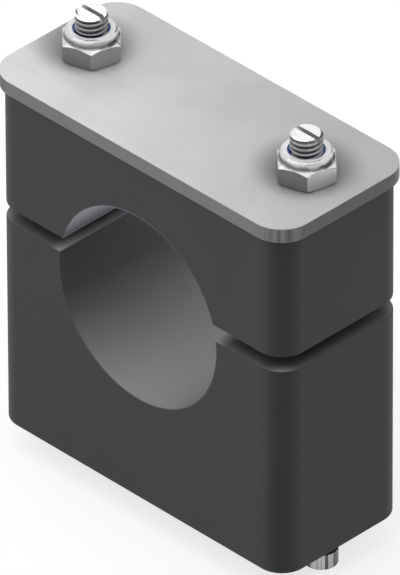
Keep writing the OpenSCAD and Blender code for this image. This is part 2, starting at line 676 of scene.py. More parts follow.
@dataclass(frozen=True)
class MouldedPlastic:
    """Matt moulded plastic of the two halves, with painted light in the bore.

    The outside has painted shade round the upright corners, is paler along the worn
    edges, and has painted light on the level faces near the outline. The bore has
    painted light that makes it paler at its bottom, where it faces up, and at its top.
    """

    colour: Colour = (0.031, 0.031, 0.034)
    roughness: Point2 = (0.50, 0.62)
    specular: float = 0.30
    pit_size: float = 0.30 * MM
    pit_depth: float = 0.010 * MM
    pit_strength: float = 0.5
    pit_change: float = 0.03
    cloud_size: float = 18.0 * MM
    cloud_change: float = 0.04
    # Painted shade: the plastic is darker round the upright corners.
    corner_shade: float = 0.62
    corner_band: Point2 = (0.1, 0.7)
    worn: Colour = (0.075, 0.075, 0.079)
    wear_width: float = 0.5 * MM
    wear_breakup: float = 0.6
    wear_share: float = 0.22
    wear_polish: float = 0.25
    # Painted light: level faces near the outline are paler, more so at the corners.
    level_light: Colour = (0.11, 0.11, 0.108)
    level_light_reach: float = 4.0 * MM
    level_light_rise: float = 1.5
    level_light_band: Point2 = (0.80, 0.95)
    corner_level_light: float = 1.1
    # Painted light: the bore is paler where it faces up, and at its top.
    bore_light: Colour = (0.309, 0.306, 0.291)
    bore_light_bias: float = 2.1
    bore_light_least: float = 0.09
    bore_light_fade: float = 3.0 * MM
    bore_light_change: float = 0.04
    bore_top_light: Colour = (0.68, 0.67, 0.73)
    bore_top_light_band: Point2 = (-0.2, -0.6)
    wall_band: Point2 = (1.02, 1.01)

    def material(
        self, name: str, effects: Effects, bore: float, box: Box, corner: float,
    ) -> Material:
        """Builds the material.

        Args:
            name: Name of the material.
            effects: The shared node groups.
            bore: Radius of the bore.
            box: Box of either half.
            corner: Radius of its upright corners.

        Returns:
            The material.
        """
        paint = Paint(name, effects)
        w = paint.wiring
        skin = w.group(effects.spark_texture, {"Vector": paint.place, "Pit Size": self.pit_size})
        rim, bend = self._outline(paint, box, corner)
        bottom, top = self._bore_light_masks(paint, bore)
        worn = w.times(paint.wear(self.wear_width, self.wear_breakup), self.wear_share)
        outside = self._outside(paint, skin["Shine"], worn, rim, bend)
        change = w.spread(skin["Shine"], self.bore_light_change)
        bore_share = w.calc("MULTIPLY", bottom, change, clamp=True)
        rough = w.ramp(skin["Shine"], 0.0, 1.0, *self.roughness)
        # The bore's paler colours are painted light.
        paint.set(
            base_color=w.blend(
                top, w.blend(bore_share, outside, rgba(self.bore_light)), rgba(self.bore_top_light),
            ),
            roughness=w.calc("MULTIPLY_ADD", worn, -self.wear_polish, rough),
            specular_ior_level=self.specular,
        )
        paint.bump(skin["Height"], self.pit_depth, self.pit_strength)
        return paint.material

    def _outside(
        self, paint: Paint, shine: NodeSocket, worn: NodeSocket, rim: NodeSocket, bend: NodeSocket,
    ) -> NodeSocket:
        """Colours the plastic outside the bore.

        Args:
            paint: The material under construction.
            shine: Small change of the moulded skin.
            worn: Share of the worn edges.
            rim: Mask that grows towards the outline.
            bend: Mask of the upright corners.

        Returns:
            The colour.
        """
        w = paint.wiring
        cloud = w.spread(paint.cloud(self.cloud_size), self.cloud_change)
        change = w.spread(shine, self.pit_change)
        # The corner factor darkens the upright corners as painted shade.
        tone = w.times(cloud, change, w.factor(bend, self.corner_shade))
        moulded = w.blend(worn, w.shade(self.colour, tone), rgba(self.worn))
        # Painted light on the level faces near the outline.
        level_lit = w.times(rim, w.ramp(w.split(paint.facing())[2], *self.level_light_band))
        level_light = w.shade(self.level_light, w.calc("MULTIPLY_ADD", bend, self.corner_level_light, 1.0))
        return w.blend(level_lit, moulded, level_light)

    def _outline(self, paint: Paint, box: Box, corner: float) -> tuple[NodeSocket, NodeSocket]:
        """Masks the neighbourhood of the halves' outline.

        Args:
            paint: The material under construction.
            box: Box of either half.
            corner: Radius of its upright corners.

        Returns:
            A mask that grows towards the outline, and one of the upright corners.
        """
        w = paint.wiring
        past = [
            w.calc("SUBTRACT", w.calc("ABSOLUTE", part), edge - corner)
            for part, edge in zip(w.split(paint.place), box.high[:2])
        ]
        outside = w.join({i: w.calc("MAXIMUM", way, 0.0) for i, way in enumerate(past)})
        flat_part = w.calc("MINIMUM", w.calc("MAXIMUM", *past), 0.0)
        reach = w.calc("ADD", w.measure("LENGTH", outside), flat_part)
        rim = w.calc("POWER", w.ramp(reach, corner - self.level_light_reach, corner), self.level_light_rise)
        bends = [w.ramp(way, *(corner * share for share in self.corner_band)) for way in past]
        return rim, w.times(*bends)

    def _bore_light_masks(self, paint: Paint, bore: float) -> tuple[NodeSocket, NodeSocket]:
        """Masks the painted light in the bore.

        Args:
            paint: The material under construction.
            bore: Radius of the bore.

        Returns:
            The masks of the bottom, with a little all round, and of the top.
        """
        w = paint.wiring
        parts = w.split(paint.place)
        reach = w.measure("LENGTH", w.join({0: parts[0], 1: parts[2]}))
        near = w.ramp(reach, bore + self.bore_light_fade, bore)
        wall = [bore * share for share in self.wall_band]
        level = w.split(paint.facing())[2]
        bottom = w.calc("POWER", w.calc("MAXIMUM", level, 0.0), self.bore_light_bias)
        least = w.ramp(reach, *wall, 0.0, self.bore_light_least)
        top = w.times(w.ramp(level, *self.bore_top_light_band), w.ramp(reach, *wall))
        return w.times(near, w.calc("MAXIMUM", bottom, least)), top


@dataclass(frozen=True)
class PlateSteel:
    """Satin stainless sheet: a fine grain along the plate, and duller sheared edges.

    The face has a painted shadow round each nut, a little off its axis, and painted
    light makes it paler on the left and at the front. The drifts are those of the
    left and of the right painted shadow.
    """

    face: Colour = (0.67, 0.67, 0.676)
    face_roughness: Point2 = (0.84, 0.92)
    # Painted light: the face is lighter on the left and at the front.
    left_light: Point2 = (1.08, 0.92)
    front_light: float = 1.11
    # Painted shadow round each nut, drawn a little off its axis.
    nut_shadow: float = 0.57
    nut_shadow_reach: Point2 = (4.5 * MM, 11.0 * MM)
    nut_shadow_drifts: tuple[Point2, Point2] = ((-3.1 * MM, 1.5 * MM), (-1.9 * MM, 1.9 * MM))
    grain_rate: float = 5000.0
    grain_scale: Scale = (0.03, 1.0, 1.0)
    grain_change: float = 0.03
    cloud_size: float = 16.0 * MM
    cloud_change: float = 0.03
    sheared: Colour = (0.185, 0.185, 0.190)
    edge_roughness: Point2 = (0.40, 0.55)
    edge_drop: float = 0.20 * MM
    edge_band: Point2 = (0.6, 1.1)
    # Painted shade: the sheared edge is darker towards both ends of the plate.
    end_shade: float = 0.60
    mark_rate: float = 1400.0
    mark_scale: Scale = (1.0, 1.0, 0.04)
    mark_change: float = 0.10
    # Painted reflections: the shear marks streak much more strongly round the corners.
    corner_reflection_streaks: float = 0.55
    wear_width: float = 0.22 * MM
    wear_breakup: float = 0.3
    wear_polish: float = 0.08
    line_depth: float = 0.004 * MM
    line_strength: float = 0.4

    def material(
        self, name: str, effects: Effects, box: Box, corner: float, axes: Sequence[Vector],
    ) -> Material:
        """Builds the material.

        Args:
            name: Name of the material.
            effects: The shared node groups.
            box: The plate's box.
            corner: Radius of its corners.
            axes: A point on the axis of each nut, the left one first.

        Returns:
            The material.
        """
        paint = Paint(name, effects)
        w = paint.wiring
        grain = paint.lines(paint.stretched(self.grain_scale), self.grain_rate)
        marks = paint.lines(paint.stretched(self.mark_scale), self.mark_rate)
        face_tone = self._face_tone(paint, grain["Streak"], box, axes)
        edge_tone = self._edge_tone(paint, marks["Streak"], box, corner)
        drops = (box.high.z - share * self.edge_drop for share in self.edge_band)
        cut = w.ramp(w.split(paint.place)[2], *drops)
        rough = w.mix(
            cut, w.ramp(grain["Streak"], 0.0, 1.0, *self.face_roughness),
            w.ramp(marks["Streak"], 0.0, 1.0, *self.edge_roughness),
        )
        wear = paint.wear(self.wear_width, self.wear_breakup)
        paint.set(
            base_color=w.blend(
                cut, w.shade(self.face, face_tone), w.shade(self.sheared, edge_tone),
            ),
            roughness=w.calc("MULTIPLY_ADD", wear, -self.wear_polish, rough),
            metallic=1.0,
        )
        height = w.mix(cut, grain["Height"], marks["Height"])
        paint.bump(height, self.line_depth, self.line_strength)
        return paint.material

    def _face_tone(
        self, paint: Paint, grain: NodeSocket, box: Box, axes: Sequence[Vector],
    ) -> NodeSocket:
        """Works out how light the face is.

        Args:
            paint: The material under construction.
            grain: Streaks of the grain.
            box: The plate's box.
            axes: A point on the axis of each nut, the left one first.

        Returns:
            The factor on the face's colour.
        """
        w = paint.wiring
        cloud = w.spread(paint.cloud(self.cloud_size), self.cloud_change)
        tone = w.times(w.spread(grain, self.grain_change), cloud)
        # A painted shadow round each nut.
        for axis, drift in zip(axes, self.nut_shadow_drifts):
            reach = paint.about(axis + Vector((*drift, 0.0)))["Reach"]
            tone = w.times(tone, w.ramp(reach, *self.nut_shadow_reach, self.nut_shadow, 1.0))
        # Painted light, lighter on the left and at the front.
        parts = w.split(paint.place)
        left_light = w.ramp(parts[0], box.low.x, box.high.x, *self.left_light)
        front = w.ramp(parts[1], box.low.y, box.high.y, self.front_light, 1.0)
        return w.times(tone, left_light, front)

    def _edge_tone(self, paint: Paint, marks: NodeSocket, box: Box, corner: float) -> NodeSocket:
        """Works out how light the sheared edge is.

        Args:
            paint: The material under construction.
            marks: Streaks that the shears left.
            box: The plate's box.
            corner: Radius of its corners, where the marks are strongest, as painted reflections.

        Returns:
            The factor on the edge's colour.
        """
        w = paint.wiring
        along, across = (
            w.ramp(w.calc("ABSOLUTE", part), edge - corner, edge - corner / 2)
            for part, edge in zip(w.split(paint.place), box.high[:2])
        )
        bend = w.times(along, across)
        depth = w.calc("MULTIPLY_ADD", bend, self.corner_reflection_streaks, self.mark_change)
        swing = w.calc("MULTIPLY_ADD", marks, 2.0, -1.0)
        marked = w.calc("MULTIPLY_ADD", swing, depth, 1.0)
        # The ends of the plate's edge are darker as painted shade.
        return w.times(marked, w.factor(along, self.end_shade))


@dataclass(frozen=True)
class StudSteel:
    """Rolled steel of a stud: bright crests and end, roots darkened as painted shade, a slot
    painted light, and a drawn head with painted reflection streaks.
    """

    bright: Colour = (1.0, 1.0, 1.0)
    crest: Colour = (0.33, 0.33, 0.335)
    # Painted shade: the thread's roots are darker than its crests.
    root: Colour = (0.12, 0.12, 0.125)
    crest_fade: float = 0.07 * MM
    rim_fade: float = 0.03 * MM
    roughness: Point2 = (0.20, 0.32)
    line_rate: float = 6000.0
    line_change: float = 0.06
    line_depth: float = 0.004 * MM
    line_strength: float = 0.4
    cloud_size: float = 4.0 * MM
    cloud_change: float = 0.05
    # Painted light: the slot's floor and walls are painted pale.
    lit_slot: Colour = (0.50, 0.50, 0.51)
    sawn_roughness: float = 0.50
    head: Colour = (0.52, 0.52, 0.53)
    # Painted reflection: the head's streaks run from this dark tone to full colour.
    head_streak_reflection: float = 0.077
    head_fade: float = 0.1 * MM
    head_roughness: float = 0.45
    drawn_rate: float = 1500.0
    drawn_scale: Scale = (1.0, 1.0, 0.03)
    drawn_band: Point2 = (0.20, 0.80)

    def material(
        self, name: str, effects: Effects, stud: "HammerStud", axis: Vector, head_top: float,
    ) -> Material:
        """Builds the material.

        Args:
            name: Name of the material.
            effects: The shared node groups.
            stud: The stud that it dresses.
            axis: Middle of the stud's upper end.
            head_top: Height of the hammer head's upper face.

        Returns:
            The material.
        """
        paint = Paint(name, effects)
        w = paint.wiring
        about = paint.about(axis)
        height = about["Height"]
        lines = paint.lines(about["Turned"], self.line_rate)
        radius = stud.thread_radius
        crest = w.ramp(about["Reach"], radius - 3 * self.crest_fade, radius - self.crest_fade)
        # Roots darker than crests: painted shade.
        rolled = w.blend(crest, rgba(self.root), rgba(self.crest))
        ended = w.blend(self._end(w, about, stud), rolled, rgba(self.bright))
        lit_slot = self._slot_faces(paint, height, stud, axis)
        cloud = w.spread(paint.cloud(self.cloud_size), self.cloud_change)
        tone = w.times(w.spread(lines["Streak"], self.line_change), cloud)
        thread = w.shade(w.blend(lit_slot, ended, rgba(self.lit_slot)), tone)
        low = w.ramp(height, head_top - axis.z + self.head_fade, head_top - axis.z)
        smooth = w.ramp(lines["Streak"], 0.0, 1.0, *self.roughness)
        rough = w.calc("MAXIMUM", smooth, w.times(low, self.head_roughness))
        paint.set(
            base_color=w.blend(low, thread, self._forged(paint)),
            roughness=w.calc("MAXIMUM", rough, w.times(lit_slot, self.sawn_roughness)),
            metallic=1.0,
        )
        paint.bump(lines["Height"], self.line_depth, self.line_strength)
        return paint.material

    def _end(self, w: Wiring, about: NodeOutputs, stud: "HammerStud") -> NodeSocket:
        """Masks the faced end of the stud and its chamfer of 45 degrees.

        Args:
            w: The material's wiring.
            about: Reach and Height about the middle of the stud's end.
            stud: The stud.

        Returns:
            The mask.
        """
        face = w.ramp(about["Height"], -self.rim_fade, 0.0)
        cone = w.calc("ADD", about["Reach"], about["Height"])
        rim = stud.thread_radius - stud.thread_chamfer - self.rim_fade
        chamfer = w.ramp(cone, rim - self.rim_fade / 2, rim + self.rim_fade / 2)
        return w.calc("MAXIMUM", face, chamfer)

    def _slot_faces(
        self, paint: Paint, height: NodeSocket, stud: "HammerStud", axis: Vector,
    ) -> NodeSocket:
        """Masks the floor and the walls of the screwdriver slot, which are painted light.

        Args:
            paint: The material under construction.
            height: Height above the end of the stud.
            stud: The stud.
            axis: Middle of the stud's upper end.

        Returns:
            The mask.
        """
        w = paint.wiring
        fade, half = self.rim_fade, stud.slot_width / 2
        across = w.calc("ABSOLUTE", w.calc("SUBTRACT", w.split(paint.place)[1], axis.y))
        inside = w.ramp(across, half + fade, half)
        top = w.ramp(height, -fade, -2 * fade)
        bottom = w.ramp(height, -stud.slot_depth - fade, -stud.slot_depth)
        return w.times(inside, top, bottom)

    def _forged(self, paint: Paint) -> NodeSocket:
        """Colours the hammer head, streaked along the bar that it was forged from; the streaks'
        strong contrast is a painted reflection.
        """
        w = paint.wiring
        drawn = paint.lines(paint.stretched(self.drawn_scale), self.drawn_rate)
        return w.shade(self.head, w.ramp(drawn["Streak"], *self.drawn_band, self.head_streak_reflection, 1.0))


@dataclass(frozen=True)
class NutSteel:
    """Steel of a lock nut: turned cones and collar, and duller flats from the bar.

    The collar's wall is darkened as painted shade, its lip, squeezed over the nylon, is
    satin and painted pale as a highlight, and a painted dark reflection lies in one
    place of its seam. The flats have painted light that makes them lighter towards
    one side.
    """

    # Painted light: the flats are lighter towards one side, by how they face.
    flat_light_tones: Point2
    turned: Colour = (0.68, 0.68, 0.69)
    turned_roughness: Point2 = (0.14, 0.22)
    turned_rate: float = 5000.0
    turned_change: float = 0.04
    line_depth: float = 0.003 * MM
    line_strength: float = 0.35
    wave_size: float = 1.6 * MM
    wave_depth: float = 0.10 * MM
    drawn: Colour = (0.46, 0.46, 0.47)
    drawn_roughness: Point2 = (0.29, 0.34)
    drawn_rate: float = 2200.0
    drawn_scale: Scale = (1.0, 1.0, 0.04)
    drawn_change: float = 0.03
    flat_light_azimuth: float = 135.0
    flat_light_band: Point2 = (-0.5, 0.5)
    rim_fade: float = 0.09 * MM
    rim_band: Point2 = (0.4, 1.4)
    wear_width: float = 0.15 * MM
    wear_breakup: float = 0.3
    wear_dulled: float = 0.3
    # Painted shade: the collar's wall is darker.
    wall_shade: Colour = (0.26, 0.26, 0.265)
    wall_shade_fade: float = 0.1 * MM
    seam: float = 0.18 * MM
    seam_band: Point2 = (1.0, 0.7)
    # Painted highlight: the lip is painted pale.
    lip_highlight: Colour = (0.92, 0.92, 0.93)
    pressed_roughness: float = 0.50
    pressed_metal: float = 0.35
    lip_reach: Point2 = (0.85 * MM, 1.05 * MM)
    lip_drop: Point2 = (0.06 * MM, 0.02 * MM)
    # Painted reflection: a dark patch in the seam on one side of the nut.
    dark_reflection: Colour = (0.10, 0.10, 0.102)
    reflection_azimuth: float = 98.0
    reflection_width: Point2 = (9.0, 20.0)
    reflection_low: Point2 = (1.4, 0.8)
    reflection_high: Point2 = (3.0, 1.5)

    def material(
        self, name: str, effects: Effects, nut: "LockNut", foot: Vector, top: float,
    ) -> Material:
        """Builds the material.

        Args:
            name: Name of the material.
            effects: The shared node groups.
            nut: The nut that it dresses.
            foot: Middle of the nut's foot.
            top: Height of the nut above its foot.

        Returns:
            The material.
        """
        paint = Paint(name, effects)
        w = paint.wiring
        about = paint.about(foot)
        lathe = paint.lines(about["Turned"], self.turned_rate)
        bar = paint.lines(paint.stretched(self.drawn_scale), self.drawn_rate)
        flats = self._flats(w, about, nut)
        lip = self._lip(w, about, nut, top)
        lathed = self._lathed(paint, about, nut, foot, top, lip)
        turned = w.shade(lathed, w.spread(lathe["Streak"], self.turned_change))
        wear = paint.wear(self.wear_width, self.wear_breakup)
        dull = w.times(flats, w.factor(wear, self.wear_dulled))
        smooth = w.ramp(lathe["Streak"], 0.0, 1.0, *self.turned_roughness)
        satin = w.calc("MAXIMUM", smooth, w.times(lip, self.pressed_roughness))
        rough = w.ramp(bar["Streak"], 0.0, 1.0, *self.drawn_roughness)
        paint.set(
            base_color=w.blend(dull, turned, self._drawn(paint, bar["Streak"])),
            roughness=w.mix(flats, satin, rough),
            metallic=w.factor(lip, self.pressed_metal),
        )
        swell = paint.cloud(self.wave_size, detail=0.0)
        waves = w.times(swell, w.calc("SUBTRACT", 1.0, flats))
        paint.bump(waves, self.wave_depth, 1.0)
        paint.bump(lathe["Height"], self.line_depth, self.line_strength)
        return paint.material

    def _flats(self, w: Wiring, about: NodeOutputs, nut: "LockNut") -> NodeSocket:
        """Masks the six flats, up to the cone that is turned above them.

        Args:
            w: The material's wiring.
            about: Reach and Height about the middle of the nut's foot.
            nut: The nut.

        Returns:
            The mask.
        """
        apex = nut.hex_height + nut.flats / 2 * nut.slope
        cone = w.calc("MULTIPLY_ADD", about["Reach"], -nut.slope, apex)
        fade = (self.rim_fade * share for share in self.rim_band)
        return w.ramp(w.calc("SUBTRACT", cone, about["Height"]), *fade)

    def _drawn(self, paint: Paint, bar: NodeSocket) -> NodeSocket:
        """Colours the flats, with painted light that makes them lighter towards one side, and
        streaked along the bar.

        Args:
            paint: The material under construction.
            bar: Streaks of the drawn bar.

        Returns:
            The colour.
        """
        w = paint.wiring
        side = w.measure("DOT_PRODUCT", paint.facing(), direction(self.flat_light_azimuth))
        tone = w.ramp(side, *self.flat_light_band, *self.flat_light_tones)
        return w.shade(self.drawn, w.times(tone, w.spread(bar, self.drawn_change)))

    def _lip(self, w: Wiring, about: NodeOutputs, nut: "LockNut", top: float) -> NodeSocket:
        """Masks the lip that is squeezed over the nylon ring.

        Args:
            w: The material's wiring.
            about: Reach and Height about the middle of the nut's foot.
            nut: The nut.
            top: Height of the nut.

        Returns:
            The mask.
        """
        inner = w.ramp(about["Reach"], *(nut.flats / 2 - reach for reach in self.lip_reach))
        level = w.ramp(about["Height"], *(top - drop for drop in self.lip_drop))
        return w.times(inner, level)

    def _lathed(
        self, paint: Paint, about: NodeOutputs, nut: "LockNut", foot: Vector, top: float,
        lip: NodeSocket,
    ) -> NodeSocket:
        """Colours the turned faces, with the painted shade on the collar's wall, the lip's painted
        highlight and the painted dark reflection.

        Args:
            paint: The material under construction.
            about: Reach and Height about the middle of the nut's foot.
            nut: The nut.
            foot: Middle of the nut's foot.
            top: Height of the nut.
            lip: Mask of the lip.

        Returns:
            The colour.
        """
        w = paint.wiring
        height, seam = about["Height"], nut.collar_foot
        above = w.ramp(height, *(seam - share * self.seam for share in self.seam_band))
        below = w.ramp(height, top - self.wall_shade_fade, seam + self.wall_shade_fade)
        wall = w.times(above, below)
        colour = w.blend(wall, rgba(self.turned), rgba(self.wall_shade))
        colour = w.blend(lip, colour, rgba(self.lip_highlight))
        return w.blend(self._dark_reflection_mask(paint, foot, height, seam), colour, rgba(self.dark_reflection))

    def _dark_reflection_mask(self, paint: Paint, foot: Vector, height: NodeSocket, seam: float) -> NodeSocket:
        """Masks a painted dark reflection in the seam under the collar, on one side of the nut.

        Args:
            paint: The material under construction.
            foot: Middle of the nut's foot.
            height: Height above the nut's foot.
            seam: Height of the seam.

        Returns:
            The mask.
        """
        w = paint.wiring
        away = w.vector("SUBTRACT", paint.place, foot)
        level = w.vector("MULTIPLY", away, (1.0, 1.0, 0.0))
        way = w.vector("NORMALIZE", level)
        near = w.near_way(way, direction(self.reflection_azimuth), self.reflection_width)
        low = w.ramp(height, *(seam - share * self.seam for share in self.reflection_low))
        high = w.ramp(height, *(seam + share * self.seam for share in self.reflection_high))
        return w.times(near, low, high)


@dataclass(frozen=True)
class Nylon:
    """Dyed nylon of the locking rings."""

    colour: Colour = (0.006, 0.17, 0.68)
    roughness: float = 0.30
    cloud_size: float = 1.5 * MM
    cloud_change: float = 0.12
    cloud_roughness: float = 0.15
    glow: float = 0.1
    glow_radius: Colour = (0.2, 0.3, 1.0)
    glow_depth: float = 0.4 * MM

    def material(self, name: str, effects: Effects) -> Material:
        """Builds the material.

        Args:
            name: Name of the material.
            effects: The shared node groups.

        Returns:
            The material.
        """
        paint = Paint(name, effects)
        w = paint.wiring
        cloud = paint.cloud(self.cloud_size)
        paint.set(
            base_color=w.shade(self.colour, w.spread(cloud, self.cloud_change)),
            roughness=w.calc("MULTIPLY_ADD", cloud, self.cloud_roughness, self.roughness),
            subsurface_weight=self.glow,
            subsurface_radius=self.glow_radius,
            subsurface_scale=self.glow_depth,
        )
        return paint.material


def fit_out(piece: Object, material: Material, node: str, body: str) -> None:
    """Dresses a finished piece, and puts it on its body in place of its node.

    Args:
        piece: The finished object.
        material: Its material.
        node: The CAD node that it stands for.
        body: The body that it rides on.
    """
    piece.data.materials.clear()
    piece.data.materials.append(material)
    show_smooth(piece)
    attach(piece, body)
    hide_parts(node)
    log.info("%s rides on %s: %d faces", piece.name, body, len(piece.data.polygons))


@dataclass(frozen=True)
class StudHoles:
    """The two holes for the studs, the same through the halves and the plate."""

    radius: float = 3.3 * MM
    steps: int = 48
    reach: float = 5.0 * MM

    def axes(self) -> list[Vector]:
        """Gives a point on the axis of each hole, the left one first."""
        return [Box.of(side.node("stud")).centre for side in Side]

    def drill(self, piece: Object, box: Box) -> None:
        """Drills both holes.

        Args:
            piece: The object to drill.
            box: Its box.
        """
        low, high = box.low.z - self.reach, box.high.z + self.reach
        for axis in self.axes():
            cut_with(piece, rod(axis, self.radius, low, high, self.steps), Cut.TAKE_AWAY)


@dataclass
class Halves:
    """The two moulded halves, with the bore between them."""

    plastic: MouldedPlastic = MouldedPlastic()
    holes: StudHoles = StudHoles()
    bore_radius: float = 19.0 * MM
    bore_steps: int = 160
    bore_reach: float = 5.0 * MM
    corner: float = 5.0 * MM
    corner_steps: int = 14
    edge: float = 0.25 * MM

    def build(self, effects: Effects) -> None:
        """Models both halves and puts them on their bodies.

        Args:
            effects: The shared node groups.
        """
        plastic = self.plastic.material(
            "moulded_plastic", effects, self.bore_radius, Box.of("lower_block"), self.corner,
        )
        for node, body in (("lower_block", "clamp_base"), ("upper_block", "clamp_top")):
            fit_out(self._half(node), plastic, node, body)

    def _half(self, node: str) -> Object:
        """Models one half in its node's box.

        Args:
            node: The CAD node.

        Returns:
            The half, bored, drilled and with its edges broken.
        """
        box = Box.of(node)
        piece = rounded_block(f"{node}_moulding", box, self.corner, self.corner_steps)
        cut_with(piece, self._bore(box), Cut.TAKE_AWAY)
        self.holes.drill(piece, box)
        soften_piece(piece, self.edge)
        return piece

    def _bore(self, box: Box) -> Object:
        """Makes the tool that cuts the bore, along Y through the origin."""
        lying = Matrix.Rotation(math.pi / 2, 4, "X")
        length = box.size.y + 2 * self.bore_reach
        return new_object("bore", cylinder(lying, self.bore_radius, length, self.bore_steps))


@dataclass
class CoverPlate:
    """The steel plate on top of the upper half."""

    steel: PlateSteel = PlateSteel()
    holes: StudHoles = StudHoles()
    corner: float = 6.0 * MM
    corner_steps: int = 18
    edge: float = 0.18 * MM

    def build(self, effects: Effects) -> None:
        """Models the plate and puts it on the upper half's body.

        Args:
            effects: The shared node groups.
        """
        box = Box.of("cover_plate")
        piece = rounded_block("cover_plate_steel", box, self.corner, self.corner_steps)
        self.holes.drill(piece, box)
        soften_piece(piece, self.edge)
        steel = self.steel.material("satin_plate", effects, box, self.corner, self.holes.axes())
        fit_out(piece, steel, "cover_plate", "clamp_top")


@dataclass
class HammerStud:
    """A stud with a rolled thread, a screwdriver slot and a hammer head.

    Counts of turns, shares and cuts are in pitches. The thread is spun too long, from
    run_in below its foot, and cut level above its start and above the stud's end.
    """

    side: Side
    steel: StudSteel
    thread_start: float
    radius: float = 3.0 * MM
    pitch: float = 1.0 * MM
    thread_radius: float = 2.9 * MM
    thread_depth: float = 0.45 * MM
    thread_length: float = 30.0 * MM
    thread_hollow: float = 0.02 * MM
    crest_share: float = 0.10
    root_share: float = 0.40
    run_in: float = 2.0
    spare_turns: int = 5
    foot_cut: float = 1.5
    end_cut: float = 0.3
    steps: int = 72
    chamfer: float = 0.6 * MM
    rim_angle: float = 60.0
    slot_width: float = 0.9 * MM
    slot_depth: float = 1.0 * MM
    head_height: float = 3.0 * MM
    head_roundness: float = 0.9999
    head_steps: int = 16
    head_edge: float = 0.20 * MM
    trim: float = 0.012 * MM

    @property
    def thread_chamfer(self) -> float:
        """Chamfer that is left on the end of the thread, which is thinner than the stud."""
        return self.chamfer + self.thread_radius - self.radius

    def build(self, effects: Effects) -> None:
        """Models the stud and puts it on its body.

        Args:
            effects: The shared node groups.
        """
        node = self.side.node("stud")
        box = Box.of(node)
        axis = Vector((box.centre.x, box.centre.y, box.high.z))
        piece = self._thread(axis)
        cut_with(piece, self._blank(axis), Cut.KEEP_COMMON)
        cut_with(piece, self._shank(axis, box), Cut.JOIN)
        cut_with(piece, self._head(box), Cut.JOIN)
        cut_with(piece, self._slot(axis), Cut.TAKE_AWAY)
        piece.name = f"{node}_steel"
        name = self.side.node("stud_steel")
        steel = self.steel.material(name, effects, self, axis, box.low.z + self.head_height)
        fit_out(piece, steel, node, f"bolt_{self.side.value}")

    def _profile(self) -> list[Point2]:
        """Gives one turn of the thread, as pitches along the stud and a radius."""
        crest, root = self.thread_radius, self.thread_radius - self.thread_depth
        return [
            (0.0, crest),
            (self.crest_share, crest),
            (self.root_share, root),
            (0.5, root - self.thread_hollow),
            (1.0 - self.root_share, root),
            (1.0 - self.crest_share, crest),
        ]

    def _thread(self, axis: Vector) -> Object:
        """Rolls the thread: a profile spun and lifted a pitch a turn, with level ends.

        Args:
            axis: Middle of the stud's upper end.

        Returns:
            A closed threaded rod that runs past the top.
        """
        turns = round(self.thread_length / self.pitch) + self.spare_turns
        foot = axis.z - self.thread_length - (self.run_in - self.thread_start) * self.pitch
        bm = bmesh.new()
        verts = [
            bm.verts.new((axis.x + r, axis.y, foot + (turn + share) * self.pitch))
            for turn in range(turns) for share, r in self._profile()
        ]
        edges = [bm.edges.new(pair) for pair in zip(verts, verts[1:])]
        bmesh.ops.spin(
            bm, geom=verts + edges, cent=axis, axis=(0, 0, 1), angle=math.tau, steps=self.steps,
            dvec=(0, 0, self.pitch / self.steps), use_merge=False, use_duplicate=False,
        )
        bmesh.ops.remove_doubles(bm, verts=bm.verts, dist=2 * WELD)
        ends = ((foot + self.foot_cut * self.pitch, -1), (axis.z + self.end_cut * self.pitch, 1))
        for height, way in ends:
            level = bmesh.ops.bisect_plane(
                bm, geom=bm.verts[:] + bm.edges[:] + bm.faces[:], dist=WELD / 2,
                plane_co=(axis.x, axis.y, height), plane_no=(0, 0, way), clear_outer=True,
            )
            rim = [e for e in level["geom_cut"] if isinstance(e, BMEdge)]
            bmesh.ops.edgeloop_fill(bm, edges=rim)
        return new_object("thread", bm)

    def _blank(self, axis: Vector) -> Object:
        """Makes the turned blank that the threaded rod is trimmed to.

        Args:
            axis: Middle of the stud's upper end.

        Returns:
            A closed cylinder with a chamfered top.
        """
        middle = axis.z - self.thread_length / 2
        place = Matrix.Translation((axis.x, axis.y, middle))
        radius = self.thread_radius + self.trim
        bm = cylinder(place, radius, self.thread_length, 2 * self.steps)
        rims = sharp_edges(bm, self.rim_angle)
        top = [e for e in rims if min(v.co.z for v in e.verts) > middle]
        soften(bm, top, self.thread_chamfer + self.trim, 1)
        return new_object("blank", bm)

    def _shank(self, axis: Vector, box: Box) -> Object:
        """Makes the plain shank from the head up to the foot of the thread."""
        low = box.low.z + self.head_height / 2
        high = axis.z - self.thread_length + self.pitch
        return rod(axis, self.radius - self.trim, low, high, self.steps)

    def _head(self, box: Box) -> Object:
        """Makes the hammer head: a flat bar with full round ends.

        Args:
            box: Box of the stud's node.

        Returns:
            The head, with its rims broken.
        """
        high = Vector((box.high.x, box.high.y, box.low.z + self.head_height))
        corner = self.radius * self.head_roundness
        piece = rounded_block("head", Box(box.low, high), corner, self.head_steps)
        soften_piece(piece, self.head_edge)
        return piece

    def _slot(self, axis: Vector) -> Object:
        """Makes the tool that saws the screwdriver slot, along X."""
        half = Vector((2 * self.radius, self.slot_width / 2, self.slot_depth))
        return new_object("saw", block(Box(axis - half, axis + half)))


